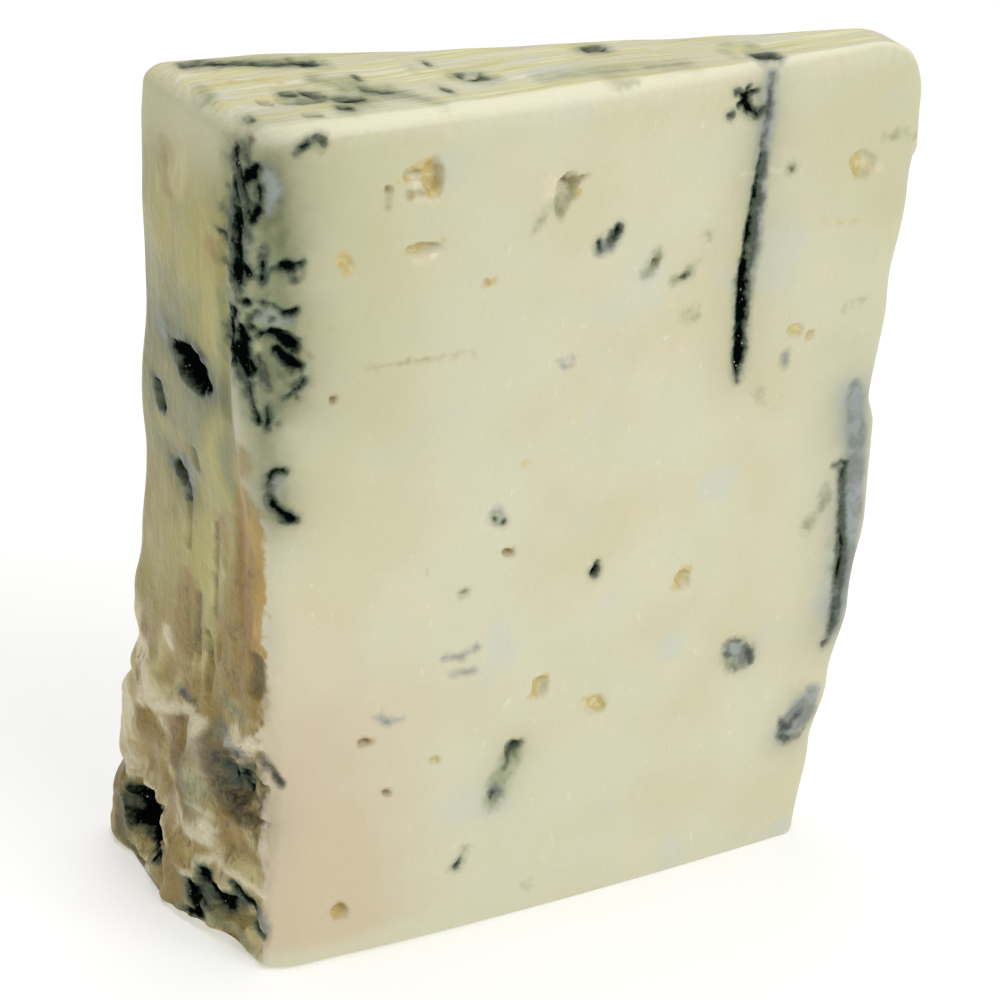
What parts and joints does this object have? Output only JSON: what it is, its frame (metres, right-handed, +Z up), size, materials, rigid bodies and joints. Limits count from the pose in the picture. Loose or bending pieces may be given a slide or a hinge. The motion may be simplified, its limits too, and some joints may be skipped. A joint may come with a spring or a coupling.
{
  "type": "blue cheese wedge",
  "caption": "Thin upright wedge of blue-veined cheese, with a smooth cut face, pitted paste, mould channels and a rough browned rind end",
  "frame": {"origin": "Centre of the wedge's outer box, at the flat foot that it stands on", "axes": "+X runs along the large cut face from the rind end to the thin point, +Y runs from that face to the one behind it, +Z is up"},
  "size_m": [0.0896, 0.038, 0.1054],
  "materials": {
    "cheese_paste": null
  },
  "bodies": {
    "root": {"cheese_wedge": "cheese_paste"}
  },
  "joints": []
}
